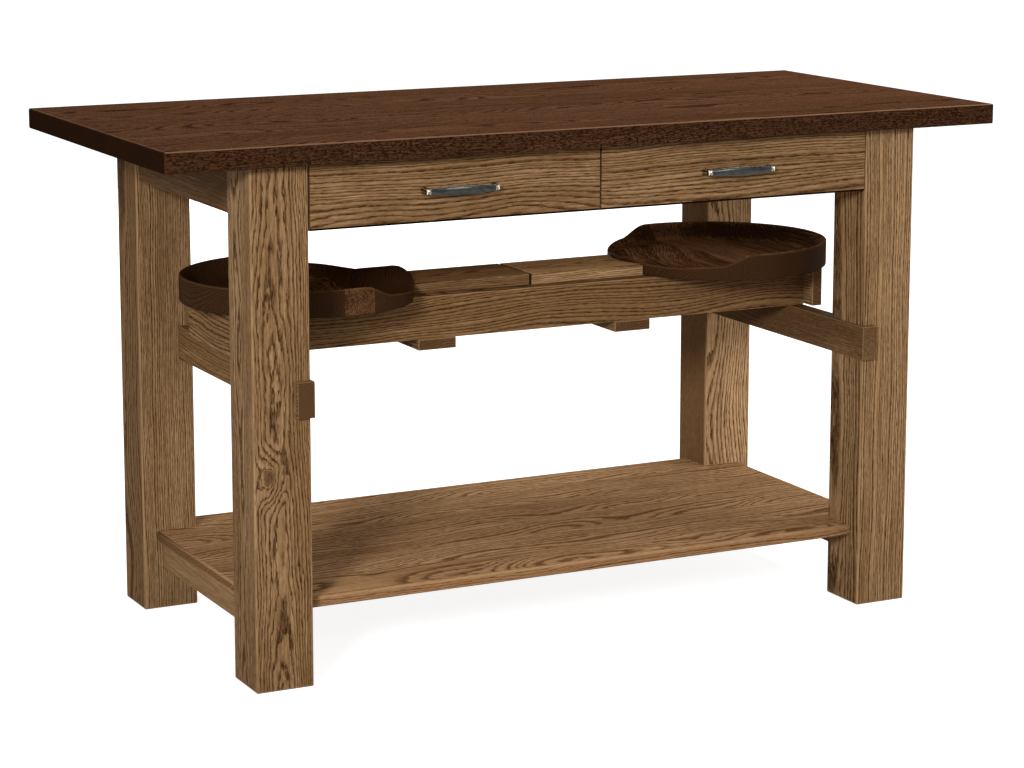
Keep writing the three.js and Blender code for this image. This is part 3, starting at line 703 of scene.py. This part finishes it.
# The arms' ends meet in a narrow gap; their near-black end colour is painted shade of that gap,
# with thick stain
end_with_painted_gap_shade = {"end": "#22140a"}
arms = (("seat_arm_left", 81.3, {**deep_stain, **end_with_painted_gap_shade}, 0.78, -0.1),
        ("seat_arm_right", 84.9, {**pale_stain, **end_with_painted_gap_shade}, 0.9, -0.2))
for node, seed, stain, tone, side_tone_and_shade in arms:
    low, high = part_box(node)
    side = -1 if low.x < 0 else 1
    near, far = (high.x, low.x) if side < 0 else (low.x, high.x)
    outline = [
        (near, low.z), (far, low.z), (far, tongue_top), (side * shoulder_x, tongue_top),
        (side * shoulder_x, high.z), (near, high.z),
    ]
    arm = drawn_out(outline, "Y", low.y, high.y)
    ease(arm, outer_edges(arm, low, high), board_round)
    wood = stained_oak(
        node, "X", (0, 12, -52), stain, seed, wander=24, ring_width=2.8,
        bite=0.85, tone=tone, side_tone_and_shade=side_tone_and_shade, thirst=1.0, shine=0.0, edge_wear_and_light_strength=0.0)
    finish_piece(arm, node + "_board", node, wood)
print("two rails and two arms")

# %% [markdown]
# ## Scooped seats
#
# A scooped seat is glued up from short staves that run across it, so its front and back walls
# show the grain and its sides show end grain. Then a dish is carved out of it: the back rim
# stays full, the rim drops along an S to thin lips at the front corners, and a ridge between
# the thighs is left standing. Carving can be modelled by sculpting or by a subdivision cage. Here
# a plain round blank is spun from its section, like a turned puck, and every point of its upper
# face is then lowered to the depth that the carver's gauge would give, which keeps both seats
# exact and alike.

# %% The seat's rules
seat_radius, seat_full, seat_dish = 211, 47.5, 18.5
lip_front, lip_side, pommel_top, pommel_width = 20.5, 27, 45, 44
# From here on in shares of the radius, from the front, -1, to the back, 1
lip_grows, rim_rises, ridge_fades = (-0.8, -0.45), (-0.47, -0.17), (-0.569, 0.047)
nose_start, nose_length, wall_rises = 0.981, 0.152, (0.8, 0.988)
seat_outline = [
    (-0.981, 0), (-0.958, 0.13), (-0.893, 0.322), (-0.815, 0.483), (-0.735, 0.635),
    (-0.628, 0.762), (-0.512, 0.85), (-0.365, 0.93), (-0.185, 0.982), (-0.005, 1),
    (0.175, 0.976), (0.403, 0.9), (0.635, 0.757), (0.825, 0.553), (0.948, 0.318),
    (0.992, 0.12), (1, 0)]
outline_turns = [math.atan2(b, -a) for a, b in seat_outline]
outline_reach = [math.hypot(a, b) for a, b in seat_outline]


def smooth_step(value, start, end):
    share = min(1, max(0, (value - start) / (end - start)))
    return share * share * (3 - 2 * share)


def edge_reach(angle):
    turned = abs(math.pi - abs(angle))
    for i in range(len(outline_turns) - 1):
        if turned <= outline_turns[i + 1] or i == len(outline_turns) - 2:
            break
    before = outline_reach[max(i - 1, 0) if i else 1]
    after = outline_reach[i + 2] if i + 2 < len(outline_reach) else outline_reach[i]
    t = (turned - outline_turns[i]) / (outline_turns[i + 1] - outline_turns[i])
    a, b = outline_reach[i], outline_reach[i + 1]
    rise_a, rise_b = (b - before) / 2, (after - a) / 2
    return ((2 * t ** 3 - 3 * t ** 2 + 1) * a + (t ** 3 - 2 * t ** 2 + t) * rise_a
            + (3 * t ** 2 - 2 * t ** 3) * b + (t ** 3 - t ** 2) * rise_b)


def rim_height(along):
    lip = lip_front + (lip_side - lip_front) * smooth_step(along, *lip_grows)
    return lip + (seat_full - lip) * smooth_step(along, *rim_rises)


def carved_height(ring, angle):
    reach = edge_reach(angle)
    along, across = ring * reach * math.cos(angle), ring * reach * math.sin(angle)
    wall = smooth_step(ring, *wall_rises)
    dish = seat_dish + (rim_height(reach * math.cos(angle)) - seat_dish) * wall
    nose = min(1, max(0, (along + nose_start) / nose_length))
    fade = 1 - smooth_step(along, *ridge_fades)
    ridge = math.exp(-(across * seat_radius / pommel_width) ** 2)
    return dish + (pommel_top - lip_front) * fade * math.sqrt(1 - (1 - nose) ** 2) * ridge


print("rim", rim_height(1), "mm, lips", lip_front, "mm, dish", seat_dish, "mm")

# %% Spin the blank and carve it
edge_round, seat_underside, rub_width, around = 3, 597.7, 2.4, 144
section = [(0.0, seat_full)]
section += [(seat_radius * share, seat_full) for share in
            (0.05, 0.11, 0.18, 0.25, 0.32, 0.39, 0.46, 0.53, 0.6, 0.66, 0.72, 0.77, 0.8, 0.825,
             0.85, 0.87, 0.89, 0.905, 0.92, 0.935, 0.95, 0.965, 0.976)]
for step in range(5):
    turn = math.radians(22.5 * step)
    section.append((seat_radius - edge_round * (1 - math.sin(turn)),
                    seat_full - edge_round * (1 - math.cos(turn))))
for step in range(4):
    turn = math.radians(30 * step)
    section.append((seat_radius - edge_round * (1 - math.cos(turn)),
                    edge_round * (1 - math.sin(turn))))
section += [(seat_radius * 0.7, 0.0), (0.0, 0.0)]

# Node, centre, seed, tone, spread and tone of the sides, which is mostly painted shade
seats = (("seat_left", -420, 762.45, -0.08, 1.6, 0.0), ("seat_right", 420, 142, 0.7, 0.9, -0.3))
for node, centre_x, seed, tone, spread, side_tone_and_shade in seats:
    seat = bmesh.new()
    corners = [seat.verts.new((r, 0, z)) for r, z in section]
    line = [seat.edges.new(pair) for pair in zip(corners, corners[1:])]
    bmesh.ops.spin(
        seat, geom=corners + line, cent=(0, 0, 0), axis=(0, 0, 1), angle=2 * math.pi,
        steps=around, use_merge=True)
    bmesh.ops.remove_doubles(seat, verts=seat.verts, dist=0.001)
    # The upper outer rim takes the lighter edge colour: a painted highlight, with a little wear
    edge_wear_and_light = seat.faces.layers.float.new("edge_wear_and_painted_light")
    for face in seat.faces:
        middle = face.calc_center_median()
        if middle.xy.length > seat_radius - rub_width:
            face[edge_wear_and_light] = 1.0 if middle.z > seat_full / 2 and abs(face.normal.z) > 0.1 else 0.0
    for corner in seat.verts:
        away, angle = corner.co.xy.length, math.atan2(corner.co.y, corner.co.x)
        ring = min(1, away / seat_radius)
        reach = edge_reach(angle) * ring * seat_radius
        height = corner.co.z
        if height > seat_full / 2:
            height = carved_height(ring, angle) - (seat_full - height)
        corner.co = (reach * math.cos(angle), reach * math.sin(angle), height)
    if centre_x < 0:
        half_turn = Matrix.Rotation(math.pi, 3, "Z")
        bmesh.ops.rotate(seat, cent=(0, 0, 0), matrix=half_turn, verts=seat.verts)
    bmesh.ops.scale(seat, vec=(mm, mm, mm), verts=seat.verts)
    bmesh.ops.translate(seat, vec=(centre_x * mm, 0, seat_underside * mm), verts=seat.verts)
    wood = stained_oak(
        node, "Y", (0, 0, -34), dark_stain, seed, name="dark stained red oak, " + node,
        wander=18, ripple=4, stave=58, tone=tone, spread=spread, side_tone_and_shade=side_tone_and_shade,
        thirst=0.35, shine=0.0, polish=0.03, edge_wear_and_light_strength=0.12)
    piece = finish_piece(seat, node + "_carved", node, wood)
print("seat:", len(piece.data.polygons), "faces")

# %% [markdown]
# ## Drawer pulls
#
# The pulls are zinc alloy castings with a pewter plating, brushed along their length. Each is a
# shallow arch that grows from 9 mm high at its ends to 15 mm in the middle, with a collar and a
# groove at each end, on two feet. A block is cut into short lengths, its points are moved onto the
# arch, and the feet are drawn out of its back at both ends.

# %% Pewter finish
pewter, tree, surface, place = new_material("pewter plated zinc, brushed")
# Brush lines are under 0.1 mm apart, and drawn 0.4 mm apart
brush_scale, dull_scale = (30, 2600, 2600), (70, 220, 220)
brush = drawn_out_noise(tree, place.outputs["Object"], (0, 0, 0), brush_scale, detail=3)
dull = drawn_out_noise(tree, place.outputs["Object"], (0, 0, 0), dull_scale, detail=3)
tarnish = add_node(tree, "ShaderNodeMapRange", smooth, {
    "Value": dull.outputs["Fac"], "From Min": 0.4, "From Max": 0.7})
# The very dark body colour is a painted dark reflection of the studio, with tarnish mottling
pewter_with_painted_dark_reflection = add_node(tree, "ShaderNodeMix", colours, {
    "Factor": tarnish.outputs[0], 6: linear("#3c3d3a"), 7: linear("#2c2d2b")})
# The ends, the collars less and the upper rounded edges are painted pale: a painted highlight, with
# some burnishing by hands; the grooves keep the dark colour
edge_wear_and_light = add_node(tree, "ShaderNodeAttribute", {"attribute_name": "edge_wear_and_painted_light"})
burnished_and_painted_highlight = add_node(tree, "ShaderNodeMix", colours, {
    "Factor": edge_wear_and_light.outputs["Fac"], 6: pewter_with_painted_dark_reflection.outputs[2], 7: linear("#c9c2b2")})
gloss = add_node(tree, "ShaderNodeMapRange", None, {
    "Value": brush.outputs["Fac"], "To Min": 0.14, "To Max": 0.26})
scratch = add_node(tree, "ShaderNodeBump", None, {
    "Strength": 0.25, "Distance": 0.02 * mm, "Height": brush.outputs["Fac"]})
feed(tree, surface, {
    "Base Color": burnished_and_painted_highlight.outputs[2], "Roughness": gloss.outputs[0],
    "Normal": scratch.outputs["Normal"], "Metallic": 1.0})
print("pewter ready")

# %% Arched pulls
pull_half, collar_start, groove_at, groove_sunk = 67, 59.6, 63.4, 0.7
end_height, swell, arch = 9, 6, 6
front_out, back_out, crown_out = 18, 14, 2
foot_flare_x, foot_flare_z = 1.03, 1.15
for node in ("pull_left", "pull_right"):
    low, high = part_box(node)
    pull = bmesh.new()
    bmesh.ops.create_cube(pull, size=1)
    bmesh.ops.scale(pull, vec=(2 * pull_half, 6, 1), verts=pull.verts)
    lengths = [8, 16, 24, 32, 40, 48, 54, collar_start, groove_at - 0.9, groove_at - 0.5,
               groove_at + 0.5, groove_at + 0.9]
    cuts = [((sign * cut, 0, 0), (1, 0, 0)) for cut in lengths for sign in (-1, 1)]
    cuts += [((0, 0, 0), (1, 0, 0))]
    cuts += [((0, 0, cut), (0, 0, 1)) for cut in (-0.4, -0.25, 0, 0.25, 0.4)]
    for point, across in cuts:
        bmesh.ops.bisect_plane(
            pull, geom=list(pull.verts) + list(pull.edges) + list(pull.faces),
            plane_co=point, plane_no=across)
    edge_wear_and_light = pull.faces.layers.float.new("edge_wear_and_painted_light")
    backs = [f for f in pull.faces
             if f.normal.y > 0.9 and abs(f.calc_center_median().x) > collar_start]
    # Faces at the ends and collars get a painted highlight, with some wear
    for face in pull.faces:
        along = abs(face.calc_center_median().x)
        if along > collar_start and abs(along - groove_at) > 0.8 and abs(face.normal.x) < 0.5:
            face[edge_wear_and_light] = 1.0 if along > groove_at else 0.35
    for corner in pull.verts:
        bow = 1 - (corner.co.x / pull_half) ** 2
        crown = 1 - (2 * corner.co.z) ** 2
        sunk = groove_sunk if abs(abs(corner.co.x) - groove_at) < 0.6 else 0
        front = corner.co.y < 0
        corner.co.z *= end_height + swell * bow - 2 * sunk
        out = front_out + crown_out * crown - sunk if front else back_out
        corner.co.y = -(out + arch * bow)
    feet = bmesh.ops.extrude_face_region(pull, geom=backs)
    for corner in [v for v in feet["geom"] if isinstance(v, bmesh.types.BMVert)]:
        corner.co = (corner.co.x * foot_flare_x, 0, corner.co.z * foot_flare_z)
    bmesh.ops.delete(pull, geom=backs, context="FACES")
    crisp = [e for e in pull.edges if e.is_manifold and e.calc_face_angle() > math.radians(42)
             and max(v.co.y for v in e.verts) < -0.5]
    worn_and_lit_edges = bmesh.ops.bevel(
        pull, geom=crisp, offset=0.8, offset_type="OFFSET", segments=3, profile=0.5,
        affect="EDGES", clamp_overlap=True, material=-1)
    # Upper rounded edges take most of the painted highlight, lower ones little
    for face in worn_and_lit_edges["faces"]:
        face[edge_wear_and_light] = 0.8 if face.calc_center_median().z > 0 else 0.2
    bmesh.ops.scale(pull, vec=(mm, mm, mm), verts=pull.verts)
    middle = (low + high) / 2
    bmesh.ops.translate(pull, vec=(middle.x, high.y, middle.z), verts=pull.verts)
    piece = finish_piece(pull, node + "_arch", node, pewter)
print("pull:", len(piece.data.polygons), "faces")

# %% [markdown]
# ## Drawer boxes, slides and hidden parts
#
# Behind the oak fronts the drawers are clear-lacquered maple with a birch plywood bottom, on
# zinc-plated steel slides. They only show when a drawer is open, and their CAD shapes are
# already right, so these nodes stay and get finishes. Maple is pale and close grained, with faint
# rings; the slides have the cloudy shine of zinc plating.

# %% Clear maple
def clear_maple(name, turn_axis):
    material, tree, surface, place = new_material(name)
    board = add_node(tree, "ShaderNodeMapping", None, {
        "Vector": place.outputs["Object"], "Rotation": grain_turns[turn_axis].to_euler("XYZ")})
    wave = drawn_out_noise(tree, board.outputs["Vector"], (0, 0, 0), (3, 24, 24), detail=2)
    rings = add_node(tree, "ShaderNodeMath", {"operation": "MULTIPLY"}, {
        0: wave.outputs["Fac"], 1: 9})
    season = add_node(tree, "ShaderNodeMath", {"operation": "FRACT"}, {0: rings.outputs[0]})
    line = add_node(tree, "ShaderNodeMapRange", smooth, {
        "Value": season.outputs[0], "From Min": 0.6, "From Max": 1.0})
    fibre = drawn_out_noise(tree, board.outputs["Vector"], (0, 0, 0), (20, 500, 500), detail=3)
    tone = add_node(tree, "ShaderNodeMath", {"operation": "MULTIPLY_ADD"}, {
        0: line.outputs[0], 1: 0.35, 2: fibre.outputs["Fac"]})
    share = add_node(tree, "ShaderNodeMapRange", None, {
        "Value": tone.outputs[0], "From Min": 0.35, "From Max": 1.0})
    colour = add_node(tree, "ShaderNodeMix", colours, {
        "Factor": share.outputs[0], 6: linear("#dcc197"), 7: linear("#b8925f")})
    feed(tree, surface, {
        "Base Color": colour.outputs[2], "Roughness": 0.42, "IOR": lacquer_ior,
        "Specular IOR Level": 0.35})
    return material


maple_lengthwise = clear_maple("maple, clear lacquered, grain along Y", "Y")
maple_crosswise = clear_maple("maple, clear lacquered, grain along X", "X")
print("maple ready")

# %% Birch plywood
plywood, tree, surface, place = new_material("birch plywood, clear lacquered")
face_place = add_node(tree, "ShaderNodeMapping", None, {
    "Vector": place.outputs["Object"], "Scale": (3, 30, 3)})
cloud = add_node(tree, "ShaderNodeTexNoise", None, {
    "Vector": face_place.outputs["Vector"], "Scale": 1, "Detail": 4, "Distortion": 0.6})
veneer = add_node(tree, "ShaderNodeMapRange", None, {
    "Value": cloud.outputs["Fac"], "From Min": 0.35, "From Max": 0.7})
veneer_colour = add_node(tree, "ShaderNodeMix", colours, {
    "Factor": veneer.outputs[0], 6: linear("#dcc49c"), 7: linear("#c7a674")})
# Five plies show as bands on the edges, and every second one is dark
ply = 1.2 * mm
height = add_node(tree, "ShaderNodeSeparateXYZ", None, {"Vector": place.outputs["Object"]})
plies = add_node(tree, "ShaderNodeMath", {"operation": "DIVIDE"}, {
    0: height.outputs["Z"], 1: 2 * ply})
band = add_node(tree, "ShaderNodeMath", {"operation": "FRACT"}, {0: plies.outputs[0]})
dark_ply = add_node(tree, "ShaderNodeMath", {"operation": "GREATER_THAN"}, {
    0: band.outputs[0], 1: 0.5})
upright = add_node(tree, "ShaderNodeSeparateXYZ", None, {"Vector": place.outputs["Normal"]})
flatness = add_node(tree, "ShaderNodeMath", {"operation": "ABSOLUTE"}, {0: upright.outputs["Z"]})
on_edge = add_node(tree, "ShaderNodeMath", {"operation": "LESS_THAN"}, {
    0: flatness.outputs[0], 1: 0.5})
edge_band = add_node(tree, "ShaderNodeMath", {"operation": "MULTIPLY"}, {
    0: dark_ply.outputs[0], 1: on_edge.outputs[0]})
ply_colour = add_node(tree, "ShaderNodeMix", colours, {
    "Factor": edge_band.outputs[0], 6: veneer_colour.outputs[2], 7: linear("#9a7647")})
feed(tree, surface, {
    "Base Color": ply_colour.outputs[2], "Roughness": 0.45, "IOR": lacquer_ior})
print("plywood ready")

# %% Zinc-plated steel
zinc, tree, surface, place = new_material("steel, zinc plated")
# Plating clouds a few millimetres across
cloud = add_node(tree, "ShaderNodeTexNoise", None, {
    "Vector": place.outputs["Object"], "Scale": 140, "Detail": 4, "Roughness": 0.6})
zinc_colour = add_node(tree, "ShaderNodeMix", colours, {
    "Factor": cloud.outputs["Fac"], 6: linear("#c3c6c8"), 7: linear("#a3a7ab")})
zinc_gloss = add_node(tree, "ShaderNodeMapRange", None, {
    "Value": cloud.outputs["Fac"], "To Min": 0.25, "To Max": 0.5})
feed(tree, surface, {
    "Base Color": zinc_colour.outputs[2], "Roughness": zinc_gloss.outputs[0], "Metallic": 1.0})
print("zinc ready")

# %% Give the CAD nodes their finishes
finishes = {}
for side in ("left", "right"):
    finishes["drawer_hanger_" + side] = maple_lengthwise
    finishes["drawer_bottom_" + side] = plywood
    finishes["drawer_back_" + side] = maple_crosswise
    for wall in ("outer", "inner"):
        finishes["drawer_side_" + wall + "_" + side] = maple_lengthwise
        for level in ("carcass", "middle", "drawer"):
            finishes["slide_" + level + "_" + wall + "_" + side] = zinc
    for end in ("left", "right"):
        finishes["pull_screw_" + end + "_" + side] = zinc
    finishes["seat_runner_" + side] = stained_oak(
        "seat_runner_" + side, "X", (0, 14, -60), brown_stain, 111 if side == "left" else 117)
finishes["drawer_divider"] = maple_lengthwise
for node, material in finishes.items():
    cad_nodes[node].data.materials.clear()
    cad_nodes[node].data.materials.append(material)
print(len(finishes), "CAD nodes finished")

# %% [markdown]
# ## Stage and light
#
# The photograph is a studio shot on white. A white sheet of floor would need far more light than
# the wood, so the camera, mirrors and glass see it as mostly white by itself, and only a share
# of it is lit, which keeps a soft shadow under the island. The main soft box stands front left
# and lights the drawers, the leg fronts and the left sides. A weak one on the right of the camera
# opens its shadows, one hangs over the top, and two low ones on the right and behind keep those
# sides readable.

# %% Floor and world
def seen_by_itself(tree):
    ray = add_node(tree, "ShaderNodeLightPath")
    seen = add_node(tree, "ShaderNodeMath", {"operation": "MAXIMUM"}, {
        0: ray.outputs["Is Camera Ray"], 1: ray.outputs["Is Glossy Ray"]})
    return add_node(tree, "ShaderNodeMath", {"operation": "MAXIMUM"}, {
        0: seen.outputs[0], 1: ray.outputs["Is Transmission Ray"]}).outputs[0]


floor_half = 30
# Under the island the floor's own white is a little less, a painted shade round it, so that the lit
# shadow shows
pool_inner, pool_outer, pool_white, sky_light = 0.8, 2.2, 0.86, 0.3
floor_mesh = bpy.data.meshes.new("floor")
floor_bm = bmesh.new()
bmesh.ops.create_grid(floor_bm, x_segments=1, y_segments=1, size=floor_half)
floor_bm.to_mesh(floor_mesh)
floor_bm.free()
floor = bpy.data.objects.new("floor", floor_mesh)
scene.collection.objects.link(floor)

floor_paper = bpy.data.materials.new("studio paper, matt white")
floor_paper.use_nodes = True
tree = floor_paper.node_tree
tree.nodes.clear()
spot = add_node(tree, "ShaderNodeTexCoord")
distance = add_node(tree, "ShaderNodeVectorMath", {"operation": "LENGTH"}, {
    0: spot.outputs["Object"]})
glow_with_painted_shade = add_node(tree, "ShaderNodeMapRange", smooth, {
    "Value": distance.outputs["Value"], "From Min": pool_inner, "From Max": pool_outer,
    "To Min": pool_white, "To Max": 1.0})
own_white = add_node(tree, "ShaderNodeMath", {"operation": "MULTIPLY"}, {
    0: seen_by_itself(tree), 1: glow_with_painted_shade.outputs[0]})
paper = add_node(tree, "ShaderNodeBsdfDiffuse", None, {"Color": (0.5, 0.5, 0.5, 1)})
white = add_node(tree, "ShaderNodeEmission", None, {
    "Color": (1, 1, 1, 1), "Strength": own_white.outputs[0]})
sheet = add_node(tree, "ShaderNodeAddShader", None, {0: paper.outputs[0], 1: white.outputs[0]})
add_node(tree, "ShaderNodeOutputMaterial", None, {"Surface": sheet.outputs[0]})
floor_mesh.materials.append(floor_paper)

world = bpy.data.worlds.new("white studio")
scene.world = world
world.use_nodes = True
tree = world.node_tree
tree.nodes.clear()
level = add_node(tree, "ShaderNodeMapRange", None, {
    "Value": seen_by_itself(tree), "To Min": sky_light, "To Max": 1.0})
sky = add_node(tree, "ShaderNodeBackground", None, {
    "Color": (1, 1, 1, 1), "Strength": level.outputs[0]})
add_node(tree, "ShaderNodeOutputWorld", None, {"Surface": sky.outputs[0]})
print("floor and world")

# %% Lamps
# Name, place, width in metres and power in watts; all look at the middle of the island
aim = Vector((0, 0, 0.5))
lamps = [
    ("key soft box", (-5.2, -5.55, 3.1), 1.3, 430),
    ("front soft box", (2.2, -6.0, 3.2), 1.4, 60),
    ("overhead soft box", (1.1, 0.2, 3.6), 2.6, 92),
    ("right fill", (4.0, -1.6, 1.8), 2.0, 45),
    ("back fill", (1.2, 5.5, 0.9), 2.0, 120),
]
for name, spot, size, watts in lamps:
    lamp = bpy.data.lights.new(name, "AREA")
    lamp.shape = "SQUARE"
    lamp.size = size
    lamp.energy = watts
    holder = bpy.data.objects.new(name, lamp)
    holder.location = spot
    holder.rotation_euler = (aim - Vector(spot)).to_track_quat("-Z", "Y").to_euler()
    scene.collection.objects.link(holder)
scene.view_settings.view_transform = "Standard"
print(len(lamps), "lamps")
